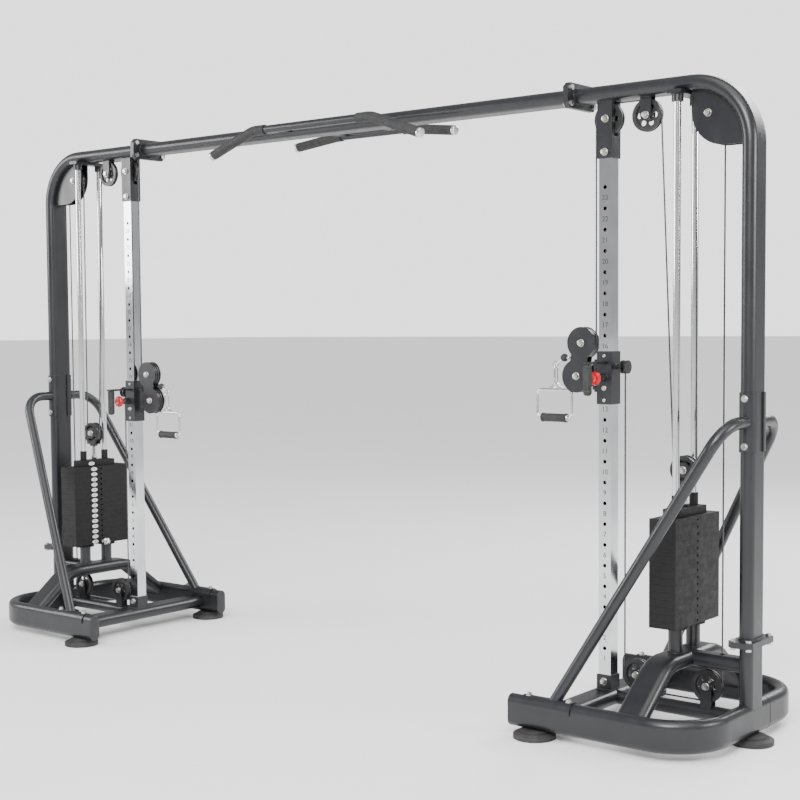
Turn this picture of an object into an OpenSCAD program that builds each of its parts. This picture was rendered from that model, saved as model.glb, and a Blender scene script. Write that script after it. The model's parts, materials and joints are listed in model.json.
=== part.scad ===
// Cable crossover machine: two weight-stack towers joined by an overhead crossbar.
// X runs along the crossbar, -Y is the front, Z is up. The origin is on the floor midway between the towers.

/* [Frame] */
// Long side of the flat-oval frame tube
tube_w = 112; // [108:1:116]
// Short side of the flat-oval frame tube
tube_t = 52; // [48:1:54]
// Wall of the frame tubes
tube_wall = 3; // [2:0.5:4]
// Distance of each outer post from the middle of the machine
post_x = 1837; // [1830:1:1845]
// Height of the middle of the top tube and crossbar
top_z = 2232; // [2225:1:2240]
// Distance of each base arm from the middle plane
arm_y = 389; // [380:1:395]
// Thickness of the rubber feet
foot_h = 29; // [25:1:32]

/* [Carriage] */
// Number of adjustment holes in each upright
hole_count = 23; // [20:1:23]
// Spacing of the adjustment holes
hole_pitch = 75; // [70:1:75]
// Hole that the left carriage stands at
left_hole = 12; // [3:1:20]
// Hole that the right carriage stands at
right_hole = 14; // [3:1:20]

/* [Weight stack] */
// Number of weight plates below the head plate of each stack
plate_count = 15; // [10:1:15]
// Pitch of the weight plates
plate_pitch = 25; // [24:0.5:25]

/* [Cable and pulleys] */
// Diameter of the coated steel cable
cable_d = 6; // [4:0.5:6]
// Radius at which the cable's middle runs on a large pulley
rope_r = 54; // [53:0.5:55]
// Radius at which the cable's middle runs on the stack pulley
stack_rope_r = 44; // [43:0.5:45]

/* [Hidden] */
$fn = 64;

// Base
base_z = foot_h + tube_w / 2;
base_top = foot_h + tube_w;
arm_end_x = 1130;
corner_r = 186;
upright_x = 1281;
cross_z = 78;
rail_d = 51;
rod_x = 1587;
rod_y = 64;
rod_d = 25;
arch_z = 264;
arch_corner_y = 174;
arch_bend_r = 150;
arch_foot_z = 94;
mid_w = 80;
mid_t = 50;
riser_top = 366;
riser_d = 50;
flange_z = 348;
flange_t = 10;
flange_w = 190;
flange_h = 90;
flange_chamfer = 24;
flange_bolt_w = 152;
flange_bolt_h = 55;
stub_step = 2;

// Straight parts of a bent tube reach into the bend by bend_lap and are bend_step thinner
bend_lap = 2;
bend_step = 0.1;

// Post, bend and top tube
bend_r = 214;
bend_x = post_x - bend_r;
bend_z = top_z - bend_r;
top_under = top_z - tube_t / 2;
top_flange_x = 1160;
crossbar_x = 1150;
holder_t = 12;
rod_top = top_under - holder_t;
cover_x = 1617;
cover_z = 2016;
cover_r = 121;

// Upright
upright_w = 50;
upright_wall = 3;
hole_d = 14;
first_hole_z = 254;
socket_w = 60;
socket_top = 157;
bracket_bottom = 2005;
bracket_in = 50.4;
upright_top = 2080;
upright_bottom = cross_z + tube_t / 2;
socket_bolt_z = 134;
bracket_bolt_z = 2027;

// Pulleys
pulley_r = 57;
pulley_t = 20;
axle_d = 12;
axle_play = 0.3;
groove_play = 0.3;
lower_pulley_z = 172;
lower_in_x = 1350 + rope_r;
lower_out_x = 1678;
top_pulley_x = 1230 + rope_r;
top_pulley_z = 2143;
hang_x = 1437;
outer_pulley_z = 2127;
stack_pulley_z = 915;
stack_pulley_r = 47;
cover_t = 5;
cover_y = 16.5;
ear_y = 12;
ear_t = 5;
ear_w = 42;

// Carriage, in heights above the pop pin
sleeve_w = 61;
sleeve_bore = 50.8;
sleeve_h = 185;
arm_up = 50;
lug_low = -36;
pivot_x = 1230;
pivot_d = 12;
pin_d = 12;
pin_tip = 25.3;
knob_y = 78.5;
block_x = 1213;
housing_low = -30;
housing_up = 44;
swivel_up = [1176, 124];
swivel_low = [1156, 4];
exit_up = 70;
swivel_plate_y = 13.5;
swivel_plate_t = 5;
ball_x = 1095;
eye_x = 1058;
ring_up = 44;
link_top = 40;
link_bottom = -31;
link_r = 10;
link_d = 6;
ring_r = 13;
ring_hole = 8;
eye_up = -34;
handle_x = 1052;
handle_w = 150;
handle_top = -48;
handle_bar = -151;
handle_d = 10;
handle_corner = 20;
grip_half = 54;
anchor_x = 1350;
anchor_up = 39;
grip_y = -142;

// Stack
stack_z = 384;
plate_t = plate_pitch - 0.4;
plate_x = 101;
plate_y = 318;
head_z = stack_z + plate_count * plate_pitch;
head_t = 28;
selector_z = stack_z + plate_t / 2;
selector_d = 9;
stem_d = 22;

// Handrails and bars
rail_bend = [post_x, -201, 1090];
rail_foot = [1280, -arm_y, 100];
rail_bend_r = 110;
rail_step = 0.4;
handrail_d = 42;
saddle_l = 200;
saddle_t = 5;
saddle_wrap = 36;
saddle_bolt = 80;
foot_d = 148;
front_corner = [320, -165, 2229];
front_end = [565, -165, 2143];
rear_corner = [200, 224, 2229];
rear_end = [436, 224, 2203];
bar_bend_r = 120;
bar_d = 32;
grip_d = 40;

function hole_z(n) = first_hole_z + (n - 1) * hole_pitch;
function carriage_z(s) = hole_z(s > 0 ? right_hole : left_hole);
function unit(v) = v / norm(v);

// Shared shapes

// Everything is drawn for the right tower and mirrored for the left one
module side(s) {
    if (s > 0) children();
    else mirror([1, 0, 0]) children();
}

module both() {
    side(1) children();
    side(-1) children();
}

// Flat-oval outline, its long side along x
module oval(w, t) {
    square([w - t, t], center = true);
    for (x = [-1, 1]) translate([x * (w - t) / 2, 0]) circle(d = t);
}

// Flat-oval bar along z, its long side along x
module oval_bar(length, w, t) {
    linear_extrude(length) oval(w, t);
}

// Bar between two points
module along(a, b) {
    d = b - a;
    translate(a) rotate([0, acos(d[2] / norm(d)), atan2(d[1], d[0])]) children();
}

module rod_between(a, b, d) {
    along(a, b) cylinder(d = d, h = norm(b - a));
}

// Round bar through three points, with its middle corner bent to radius r.
// The straight ends are a hair thinner than the bend and reach a little way into it.
module bent_rod(p0, p1, p2, r, d, step = bend_step) {
    u = unit(p0 - p1);
    v = unit(p2 - p1);
    half = acos(u * v) / 2;
    centre = p1 + unit(u + v) * r / sin(half);
    start = p1 + u * r / tan(half);
    end = p1 + v * r / tan(half);
    ex = unit(start - centre);
    ez = unit(cross(v, u));
    ey = cross(ez, ex);
    rod_between(p0, start - u * bend_lap, d - step);
    rod_between(end - v * bend_lap, p2, d - step);
    multmatrix([
        [ex[0], ey[0], ez[0], centre[0]],
        [ex[1], ey[1], ez[1], centre[1]],
        [ex[2], ey[2], ez[2], centre[2]],
        [0, 0, 0, 1],
    ]) rotate_extrude(angle = 180 - 2 * half) translate([r, 0]) circle(d = d);
}

// Chamfered joining plate with its four bolt holes, lying in the x-y plane
module flange_plate() {
    difference() {
        linear_extrude(flange_t) difference() {
            square([flange_h, flange_w], center = true);
            for (x = [-1, 1], y = [-1, 1])
                translate([x * flange_h / 2, y * flange_w / 2]) rotate(45)
                    square(flange_chamfer, center = true);
        }
        flange_holes() translate([0, 0, -1]) cylinder(d = axle_d + 0.4, h = flange_t + 2);
    }
}

module flange_holes() {
    for (x = [-1, 1], y = [-1, 1])
        translate([x * flange_bolt_h / 2, y * flange_bolt_w / 2, 0]) children();
}

// Hexagon bolt along z: the head stands on z = 0 and the shank goes down to the nut
module bolt(grip, d = 12, nut = true) {
    cylinder(d = d * 1.7, h = d * 0.6, $fn = 6);
    translate([0, 0, -grip]) cylinder(d = d, h = grip);
    if (nut) translate([0, 0, -grip - d * 0.8]) cylinder(d = d * 1.7, h = d * 0.8, $fn = 6);
}

// A bolt along y, centred on y = 0
module cross_bolt(x, z, grip, d = 12) {
    translate([x, -grip / 2, z]) rotate([90, 0, 0]) bolt(grip, d);
}

// Grooved pulley with a spoked web, its axle along y
module pulley(r, rope, spokes = 6) {
    groove_r = cable_d / 2 + groove_play;
    web_in = 17;
    web_out = rope - 11;
    rotate([90, 0, 0]) difference() {
        rotate_extrude($fn = 96) difference() {
            union() {
                translate([axle_d / 2 + axle_play, -pulley_t / 2]) square([web_in - axle_d / 2, pulley_t]);
                translate([web_in, -3]) square([web_out - web_in, 6]);
                translate([web_out, -pulley_t / 2 + 1]) square([r - web_out, pulley_t - 2]);
            }
            translate([rope, 0]) circle(r = groove_r, $fn = 32);
            translate([rope, -groove_r]) square([r, 2 * groove_r]);
        }
        for (i = [0 : spokes - 1]) rotate(i * 360 / spokes) translate([(web_in + web_out) / 2, 0, -5])
            cylinder(d = web_out - web_in - 6, h = 10);
    }
}

// Arc of cable round a pulley in the x-z plane, from angle a0 (0 is +x, 90 is up) through sweep
module cable_arc(x, z, r, a0, sweep) {
    translate([x, 0, z]) rotate([90, 0, 0]) rotate(a0)
        rotate_extrude(angle = sweep) translate([r, 0]) circle(d = cable_d, $fn = 24);
}

module cable_run(x0, z0, x1, z1) {
    rod_between([x0, 0, z0], [x1, 0, z1], cable_d, $fn = 24);
}

// Plate standing in the x-z plane, its near face at y
module upright_plate(y, t) {
    translate([0, y + t, 0]) rotate([90, 0, 0]) linear_extrude(t) children();
}

// Two ears that carry a pulley axle, rounded at the axle and cut square at z_end
module ears(x, z, z_end) {
    for (y = [-ear_y - ear_t, ear_y]) upright_plate(y, ear_t) difference() {
        union() {
            translate([x, z]) circle(r = ear_w / 2);
            translate([x - ear_w / 2, min(z, z_end)]) square([ear_w, abs(z_end - z)]);
        }
        translate([x, z]) circle(d = axle_d + 0.4);
    }
}

// Fixed structure

// Outside (shrink = 0) or inside (shrink = wall) of the welded base tubes
module base_tubes(shrink) {
    w = tube_w - 2 * shrink;
    t = tube_t - 2 * shrink;
    slope = atan2(arch_z - arch_foot_z, arm_y - arch_corner_y);
    reach = arch_bend_r * tan(slope / 2);
    leg = unit([0, arm_y - arch_corner_y, arch_foot_z - arch_z]);
    open = shrink > 0 ? 1 : 0;
    for (m = [0, 1]) mirror([0, m, 0]) {
        translate([arm_end_x - open, arm_y, base_z]) rotate([0, 90, 0])
            oval_bar(post_x - corner_r - arm_end_x + open, w, t);
        translate([post_x - corner_r, arm_y - corner_r, base_z])
            rotate_extrude(angle = 90) translate([corner_r, 0]) rotate(90) oval(w, t);
        translate([rod_x, arch_corner_y - reach, arch_z - arch_bend_r]) rotate([90, 0, 90])
            rotate(90 - slope) rotate_extrude(angle = slope) translate([arch_bend_r, 0]) rotate(90) oval(w, t);
        along([rod_x, arch_corner_y, arch_z] + leg * (reach - bend_lap), [rod_x, arm_y, arch_foot_z])
            rotate(90) oval_bar(norm([arm_y - arch_corner_y, arch_z - arch_foot_z]) - reach + bend_lap,
                w - bend_step, t - bend_step);
    }
    translate([post_x, -(arm_y - corner_r), base_z]) rotate([-90, 0, 0]) rotate(90)
        oval_bar(2 * (arm_y - corner_r), w, t);
    translate([rod_x, reach - arch_corner_y - bend_lap, arch_z]) rotate([-90, 0, 0])
        oval_bar(2 * (arch_corner_y - reach + bend_lap), w - bend_step, t - bend_step);
    translate([upright_x, -arm_y, cross_z]) rotate([-90, 0, 0]) oval_bar(2 * arm_y, w, t);
    translate([upright_x, 0, cross_z]) rotate([0, 90, 0])
        cylinder(d = rail_d - 2 * shrink, h = post_x - upright_x);
    translate([rod_x, 0, arch_z]) rotate([0, 90, 0]) rotate(90)
        oval_bar(post_x - rod_x, mid_w - 2 * shrink, mid_t - 2 * shrink);
    translate([post_x, 0, base_z]) rotate(90)
        oval_bar(flange_z - flange_t - base_z + open, w - stub_step, t - stub_step);
}

module base_frame(s) color("#2b2c31") side(s) {
    difference() {
        union() {
            difference() {
                base_tubes(0);
                base_tubes(tube_wall);
            }
            for (y = [-rod_y, rod_y]) translate([rod_x, y, arch_z + tube_t / 2 - 1]) difference() {
                cylinder(d = riser_d, h = riser_top - arch_z - tube_t / 2 + 1);
                translate([0, 0, 1]) cylinder(d = rod_d + 0.2, h = riser_top);
            }
            translate([upright_x - socket_w / 2, -socket_w / 2, cross_z + tube_t / 2 - 1])
                difference() {
                    cube([socket_w, socket_w, socket_top - cross_z - tube_t / 2 + 1]);
                    translate([socket_w / 2 - upright_w / 2 - 0.2, socket_w / 2 - upright_w / 2 - 0.2, 1])
                        cube([upright_w + 0.4, upright_w + 0.4, socket_top]);
                }
            ears(lower_in_x, lower_pulley_z, cross_z + 17);
            ears(lower_out_x, lower_pulley_z, cross_z + 17);
            translate([post_x, 0, flange_z - flange_t]) flange_plate();
        }
        translate([lower_out_x + rope_r, 0, arch_z - mid_t]) cylinder(d = 20, h = 2 * mid_t);
        translate([upright_x, 0, socket_bolt_z]) rotate([90, 0, 0])
            cylinder(d = axle_d + 0.4, h = 100, center = true);
    }
}

// Outside or inside of the bent column tube
module column_tubes(shrink) {
    w = tube_w - 2 * shrink;
    t = tube_t - 2 * shrink;
    open = shrink > 0 ? 1 : 0;
    translate([post_x, 0, flange_z + flange_t - open]) rotate(90)
        oval_bar(bend_z - flange_z - flange_t + open, w, t);
    translate([bend_x, 0, bend_z]) rotate([90, 0, 0])
        rotate_extrude(angle = 90) translate([bend_r, 0]) rotate(90) oval(w, t);
    translate([top_flange_x + flange_t - open, 0, top_z]) rotate([0, 90, 0]) rotate(90)
        oval_bar(bend_x - top_flange_x - flange_t + open, w, t);
}

// Outline of the plates that cover the outer top pulley
module cover_outline() {
    inner_r = bend_r - tube_t / 2 + 1;
    difference() {
        intersection() {
            union() {
                translate([cover_x + cover_r, cover_z + cover_r]) circle(r = cover_r);
                translate([cover_x, cover_z + cover_r]) square([250, 120]);
                translate([cover_x + cover_r, cover_z]) square([120, 250]);
            }
            union() {
                translate([bend_x, bend_z]) circle(r = inner_r, $fn = 96);
                translate([cover_x - 5, bend_z]) square([bend_x - cover_x + 5, inner_r]);
            }
        }
        translate([lower_out_x, outer_pulley_z]) circle(d = axle_d + 0.4);
    }
}

module column_frame(s) color("#2b2c31") side(s) {
    difference() {
        column_tubes(0);
        column_tubes(tube_wall);
    }
    translate([post_x, 0, flange_z]) flange_plate();
    translate([top_flange_x, 0, top_z]) rotate([0, 90, 0]) flange_plate();
    for (y = [-cover_y - cover_t, cover_y]) upright_plate(y, cover_t) cover_outline();
    ears(hang_x, top_pulley_z, top_under + 1);
    rod_holder();
    top_bracket();
}

// Cross bar under the top tube with a collar for each guide rod
module rod_holder() {
    difference() {
        union() {
            translate([rod_x - 26, -92, rod_top]) cube([52, 184, holder_t + 1]);
            for (y = [-rod_y, rod_y]) translate([rod_x, y, rod_top - 26]) cylinder(d = 40, h = 27);
        }
        for (y = [-rod_y, rod_y]) translate([rod_x, y, rod_top - 60]) cylinder(d = rod_d + 0.2, h = 60);
    }
}

// Square bracket that holds the upright's top end and the top pulley
module top_bracket() {
    difference() {
        translate([upright_x - socket_w / 2, -socket_w / 2, bracket_bottom])
            cube([socket_w, socket_w, top_under - bracket_bottom + 1]);
        translate([upright_x - bracket_in / 2, -bracket_in / 2, bracket_bottom - 1])
            cube([bracket_in, bracket_in, top_under - bracket_bottom + 1]);
        translate([upright_x - socket_w, -pulley_t / 2 - 2, top_pulley_z - 60])
            cube([2 * socket_w, pulley_t + 4, top_under - top_pulley_z + 60]);
        for (p = [[upright_x, bracket_bolt_z], [top_pulley_x, top_pulley_z]])
            translate([p[0], 0, p[1]]) rotate([90, 0, 0]) cylinder(d = axle_d + 0.4, h = 100, center = true);
    }
}

module upright(s) color("#c9ccd1") side(s) translate([upright_x, 0, 0]) difference() {
    translate([-upright_w / 2, -upright_w / 2, upright_bottom])
        cube([upright_w, upright_w, upright_top - upright_bottom]);
    translate([upright_wall - upright_w / 2, upright_wall - upright_w / 2, upright_bottom - 1])
        cube([upright_w - 2 * upright_wall, upright_w - 2 * upright_wall, upright_top]);
    for (n = [1 : hole_count]) translate([0, 0, hole_z(n)]) rotate([90, 0, 0])
        cylinder(d = hole_d, h = upright_w);
    for (z = [socket_bolt_z, bracket_bolt_z]) translate([0, 0, z]) rotate([90, 0, 0])
        cylinder(d = axle_d + 0.4, h = 100, center = true);
}

// Crossbar tube with its end flanges and the two pull-up bars welded to it
module crossbar() color("#2b2c31") {
    difference() {
        union() {
            translate([-crossbar_x, 0, top_z]) rotate([0, 90, 0]) rotate(90)
                oval_bar(2 * crossbar_x, tube_w, tube_t);
            pull_up_bar(front_corner, front_end, 225);
            pull_up_bar(rear_corner, rear_end, 140);
        }
        translate([-crossbar_x - 1, 0, top_z]) rotate([0, 90, 0]) rotate(90)
            oval_bar(2 * crossbar_x + 2, tube_w - 2 * tube_wall, tube_t - 2 * tube_wall);
    }
    both() translate([crossbar_x, 0, top_z]) rotate([0, 90, 0]) flange_plate();
}

// Bar with a straight middle and bent ends, on two flat struts
module pull_up_bar(corner, end, strut_x) {
    out = unit(end - corner);
    lead = [60, 0, 0];
    rod_between([lead[0] - corner[0] - bend_lap, corner[1], corner[2]], corner - lead + [bend_lap, 0, 0],
        bar_d - 2 * bend_step);
    both() {
        bent_rod(corner - lead, corner, end, bar_bend_r, bar_d);
        rod_between(end - out * 12, end, grip_d - 2);
        translate([strut_x - 20, min(0, corner[1]), corner[2] - 4]) cube([40, abs(corner[1]), 8]);
    }
}

// Foam sleeve over the bent end of a bar, starting at x0
module bar_grip(corner, end, x0) {
    out = unit(end - corner);
    difference() {
        bent_rod([x0, corner[1], corner[2]], corner, end - out * 13, bar_bend_r, grip_d);
        bent_rod([x0 - 1, corner[1], corner[2]], corner, end, bar_bend_r, bar_d + 0.2);
    }
}

module pull_up_grips() color("#1b1b1d") both() {
    bar_grip(front_corner, front_end, 250);
    bar_grip(rear_corner, rear_end, 170);
}

// Saddle plate that wraps the rounded edge of a flat-oval tube, its edge towards +x
module saddle() {
    linear_extrude(saddle_l) intersection() {
        oval(tube_w + 2 * saddle_t, tube_t + 2 * saddle_t);
        translate([tube_w / 2 - saddle_wrap, -tube_w]) square([saddle_wrap + saddle_t, 2 * tube_w]);
    }
}

module handrail() {
    difference() {
        union() {
            bent_rod([post_x, 1 - tube_w / 2, rail_bend[2]], rail_bend, rail_foot, rail_bend_r, handrail_d, rail_step);
            translate([post_x, 0, rail_bend[2] - saddle_l / 2]) rotate(-90) saddle();
            translate([rail_foot[0] - saddle_l / 2, -arm_y, base_z]) rotate([0, 90, 0]) rotate(180) saddle();
        }
        saddle_bolts() translate([0, 0, -2]) cylinder(d = 25, h = 30);
        bent_rod([post_x, 0, rail_bend[2]], rail_bend, rail_foot, rail_bend_r,
            handrail_d - 2 * tube_wall, rail_step);
        translate([post_x, 0, rail_bend[2] - saddle_l]) rotate(90) oval_bar(2 * saddle_l, tube_w, tube_t);
        translate([rail_foot[0] - saddle_l, -arm_y, base_z]) rotate([0, 90, 0])
            oval_bar(2 * saddle_l, tube_w, tube_t);
    }
}

// Places each bolt of one handrail's saddles
module saddle_bolts() {
    for (d = [-saddle_bolt, saddle_bolt]) {
        translate([post_x, -tube_w / 2 - saddle_t, rail_bend[2] + d]) rotate([90, 0, 0]) children();
        translate([rail_foot[0] + d, -arm_y, base_top + saddle_t]) children();
    }
}

module handrails() color("#2b2c31") both() for (m = [0, 1]) mirror([0, m, 0]) handrail();

module guide_rods() color("#dfe1e4") both() for (y = [-rod_y, rod_y])
    translate([rod_x, y, arch_z + tube_t / 2]) cylinder(d = rod_d, h = rod_top - arch_z - tube_t / 2);

module rod_bumpers() color("#161617") both() for (y = [-rod_y, rod_y]) translate([rod_x, y, 0])
    rotate_extrude() polygon([
        [rod_d / 2 + 0.4, riser_top], [riser_d / 2, riser_top], [riser_d / 2, riser_top + 4],
        [42, riser_top + 6], [42, riser_top + 11], [30, riser_top + 13],
        [28, stack_z - 0.3], [rod_d / 2 + 0.4, stack_z - 0.3],
    ]);

module foot() {
    cylinder(d = foot_d, h = foot_h * 0.55);
    translate([0, 0, foot_h * 0.55]) cylinder(d1 = foot_d, d2 = foot_d - 26, h = foot_h * 0.2);
    translate([0, 0, foot_h * 0.75]) cylinder(d = foot_d - 50, h = foot_h * 0.25);
}

module rubber_feet() color("#1a1a1b") both() {
    for (y = [-arm_y, arm_y]) translate([arm_end_x + 91, y, 0]) foot();
    translate([post_x + 6, 0, 0]) foot();
}

// Spacer tubes that centre a pulley between two walls
module spacers(x, z, wall_y) {
    for (m = [0, 1]) mirror([0, m, 0]) translate([x, -pulley_t / 2 - 0.2, z]) rotate([90, 0, 0])
        difference() {
            cylinder(d = 20, h = wall_y - pulley_t / 2 - 0.2);
            translate([0, 0, -1]) cylinder(d = axle_d, h = wall_y);
        }
}

module frame_bolts() color("#c8c8c4") both() {
    translate([post_x, 0, flange_z + flange_t]) flange_holes() bolt(2 * flange_t);
    translate([crossbar_x, 0, top_z]) rotate([0, -90, 0]) flange_holes() bolt(2 * flange_t);
    cross_bolt(lower_in_x, lower_pulley_z, 2 * (ear_y + ear_t));
    cross_bolt(lower_out_x, lower_pulley_z, 2 * (ear_y + ear_t));
    cross_bolt(hang_x, top_pulley_z, 2 * (ear_y + ear_t));
    cross_bolt(lower_out_x, outer_pulley_z, 2 * (cover_y + cover_t));
    cross_bolt(top_pulley_x, top_pulley_z, socket_w);
    cross_bolt(upright_x, bracket_bolt_z, socket_w);
    cross_bolt(upright_x, socket_bolt_z, socket_w);
    spacers(lower_out_x, outer_pulley_z, cover_y);
    spacers(top_pulley_x, top_pulley_z, bracket_in / 2);
    for (m = [0, 1]) mirror([0, m, 0]) saddle_bolts() translate([0, 0, -2]) {
        cylinder(d = 24, h = 3);
        cylinder(d = 18, h = 10, $fn = 6);
    }
}

module fixed_cables() color("#3a3a3c") both() {
    cable_arc(top_pulley_x, top_pulley_z, rope_r, 90, 90);
    cable_run(top_pulley_x, top_pulley_z + rope_r, hang_x, top_pulley_z + rope_r);
    cable_arc(hang_x, top_pulley_z, rope_r, 0, 90);
    cable_arc(lower_out_x, outer_pulley_z, rope_r, 0, 180);
    cable_run(lower_out_x + rope_r, lower_pulley_z, lower_out_x + rope_r, outer_pulley_z);
    cable_arc(lower_out_x, lower_pulley_z, rope_r, 270, 90);
    cable_run(lower_in_x, lower_pulley_z - rope_r, lower_out_x, lower_pulley_z - rope_r);
    cable_arc(lower_in_x, lower_pulley_z, rope_r, 180, 90);
}

// Carriage

module carriage(s) color("#2e2f34") side(s) translate([0, 0, carriage_z(s)]) {
    difference() {
        union() {
            translate([upright_x - sleeve_w / 2, -sleeve_w / 2, -sleeve_h / 2])
                cube([sleeve_w, sleeve_w, sleeve_h]);
            translate([upright_x, -sleeve_w / 2 + 1, 0]) rotate([90, 0, 0]) cylinder(d = 30, h = 36.5);
            translate([upright_x - 13, grip_y - 15, arm_up]) cube([26, -grip_y + 15 - sleeve_w / 2 + 1, 8]);
            for (z = [lug_low - 8, arm_up]) translate([pivot_x, 0, z]) linear_extrude(8) {
                circle(d = 28);
                translate([0, -14]) square([upright_x - sleeve_w / 2 - pivot_x + 1, 28]);
            }
            translate([upright_x + sleeve_w / 2 - 1, 0, anchor_up]) rotate([0, 90, 0])
                cylinder(d = 18, h = anchor_x - upright_x - sleeve_w / 2 + 8);
            for (x = [-12, 6]) translate([anchor_x + x, 0, anchor_up]) rotate([0, 90, 0])
                cylinder(d = 48, h = 6);
        }
        translate([upright_x - sleeve_bore / 2, -sleeve_bore / 2, -sleeve_h])
            cube([sleeve_bore, sleeve_bore, 2 * sleeve_h]);
        translate([upright_x, 0, 0]) rotate([90, 0, 0]) cylinder(d = pin_d + 0.6, h = 100);
        translate([pivot_x, 0, -sleeve_h]) cylinder(d = pivot_d, h = 2 * sleeve_h);
    }
    translate([upright_x, grip_y, lug_low]) cylinder(d = 13.6, h = arm_up - lug_low);
    translate([pivot_x, 0, lug_low - 8]) {
        cylinder(d = pivot_d, h = arm_up - lug_low + 16);
        translate([0, 0, arm_up - lug_low + 16]) cylinder(d = 17, h = 7, $fn = 6);
        translate([0, 0, -8]) cylinder(d = 17, h = 8, $fn = 6);
    }
}

module carriage_grip(s) color("#1a1a1c") side(s) translate([upright_x, grip_y, carriage_z(s)])
    rotate_extrude() polygon([
        [0, lug_low - 24], [9, lug_low - 23], [14, lug_low - 18], [15, lug_low - 12],
        [15, arm_up - 4], [13, arm_up], [7, arm_up], [7, lug_low - 0.2], [0, lug_low - 0.2],
    ]);

module pop_pin(s) color("#d3131c") side(s) translate([upright_x, 0, carriage_z(s)]) rotate([90, 0, 0])
    rotate_extrude() polygon([
        [0, pin_tip], [pin_d / 2 - 1, pin_tip], [pin_d / 2, pin_tip + 1], [pin_d / 2, knob_y],
        [10, knob_y], [12, knob_y + 3], [20, knob_y + 9], [24, knob_y + 12], [25, knob_y + 16],
        [24, knob_y + 22], [20, knob_y + 26], [0, knob_y + 27],
    ]);

// Outline of one side plate of the swivelling pulley housing
module swivel_outline() {
    neck = [swivel_up[0] - swivel_low[0], swivel_up[1] - swivel_low[1]];
    difference() {
        union() {
            translate(swivel_up) circle(r = 58);
            translate(swivel_low) circle(r = 60);
            translate(swivel_low) rotate(atan2(neck[1], neck[0])) translate([0, -34]) square([norm(neck), 68]);
            translate([swivel_low[0], housing_low]) square([block_x + 7.5 - swivel_low[0], housing_up - housing_low]);
        }
        for (p = [swivel_up, swivel_low]) translate(p) circle(d = axle_d + 0.4);
    }
}

module swivel_housing(s) color("#33343a") side(s) translate([0, 0, carriage_z(s)]) {
    difference() {
        union() {
            for (y = [-swivel_plate_y - swivel_plate_t, swivel_plate_y])
                upright_plate(y, swivel_plate_t) swivel_outline();
            translate([block_x, -swivel_plate_y - swivel_plate_t, housing_low])
                cube([7.5, 2 * (swivel_plate_y + swivel_plate_t), housing_up - housing_low]);
            translate([pivot_x, 0, lug_low + 0.5]) cylinder(d = 26, h = arm_up - lug_low - 1);
        }
        translate([pivot_x, 0, -sleeve_h]) cylinder(d = pivot_d + 0.4, h = 2 * sleeve_h);
    }
    for (p = [swivel_up, swivel_low]) {
        cross_bolt(p[0], p[1], 2 * (swivel_plate_y + swivel_plate_t));
        spacers(p[0], p[1], swivel_plate_y);
    }
}

module swivel_pulley(s, p) color("#1c1c1e") side(s)
    translate([p[0], 0, carriage_z(s) + p[1]]) pulley(pulley_r, rope_r);

module large_pulley(s, x, z) color("#1c1c1e") side(s) translate([x, 0, z]) pulley(pulley_r, rope_r);

module stack_pulley(s) color("#1c1c1e") side(s) translate([rod_x, 0, stack_pulley_z])
    pulley(stack_pulley_r, stack_rope_r);

// Weight stack

module weight_plate() {
    difference() {
        linear_extrude(plate_t) difference() {
            square([plate_x, plate_y], center = true);
            for (y = [-rod_y, rod_y]) translate([0, y]) circle(d = rod_d + 2);
            circle(d = stem_d + 3);
        }
        translate([0, 0, plate_t / 2]) rotate([0, 90, 0]) cylinder(d = selector_d + 1, h = 200, center = true);
    }
}

module weight_plates(s) color("#17171a") side(s)
    for (i = [0 : plate_count - 1]) translate([rod_x, 0, stack_z + i * plate_pitch]) weight_plate();

// Head plate with its rod collars, and the drilled stem that hangs down through the plates
module head_plate(s) color("#141416") side(s) translate([rod_x, 0, 0]) difference() {
    union() {
        translate([-32, -98, head_z]) cube([64, 196, head_t]);
        for (y = [-rod_y, rod_y]) translate([0, y, head_z]) cylinder(d = 31, h = head_t + 43);
        translate([0, 0, stack_z + 1]) cylinder(d = stem_d, h = head_z - stack_z);
    }
    for (y = [-rod_y, rod_y]) translate([0, y, head_z - 1]) cylinder(d = rod_d + 1, h = head_t + 50);
    for (i = [0 : plate_count - 1]) translate([0, 0, selector_z + i * plate_pitch]) rotate([0, 90, 0])
        cylinder(d = selector_d + 1, h = 100, center = true);
}

module yoke_outline() {
    difference() {
        union() {
            circle(r = 50);
            translate([-30, -53]) square([60, 53]);
        }
        circle(d = axle_d + 0.4);
        for (a = [30, 210]) rotate(a) intersection() {
            difference() {
                circle(r = 38);
                circle(r = 27);
            }
            square(50);
        }
    }
}

module stack_pulley_yoke(s) color("#3c3d42") side(s) translate([rod_x, 0, 0]) {
    for (y = [-ear_y - ear_t, ear_y]) translate([0, 0, stack_pulley_z]) upright_plate(y, ear_t) yoke_outline();
    translate([-15, -ear_y, stack_pulley_z - 62]) cube([30, 2 * ear_y, 12]);
    translate([0, 0, head_z + head_t]) {
        cylinder(d = 14, h = stack_pulley_z - 61 - head_z - head_t);
        cylinder(d = 24, h = 10, $fn = 6);
    }
    cross_bolt(0, stack_pulley_z, 2 * (ear_y + ear_t));
}

module selector_pin(s) color("#d9dadd") side(s) translate([rod_x - plate_x / 2 - 1, 0, selector_z])
    rotate([0, -90, 0]) rotate_extrude() polygon([
        [0, -66], [selector_d / 2 - 1, -66], [selector_d / 2, -64], [selector_d / 2, 0], [10, 0], [10, 8], [7, 10],
        [7, 14], [14, 17], [18, 24], [18, 32], [14, 39], [7, 42], [0, 42],
    ]);

// Handle and cable runs

// Flat ring in the x-z plane, its hole along y
module flat_ring(r, hole, t) {
    upright_plate(-t / 2, t) difference() {
        circle(r = r);
        circle(r = hole);
    }
}

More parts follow.
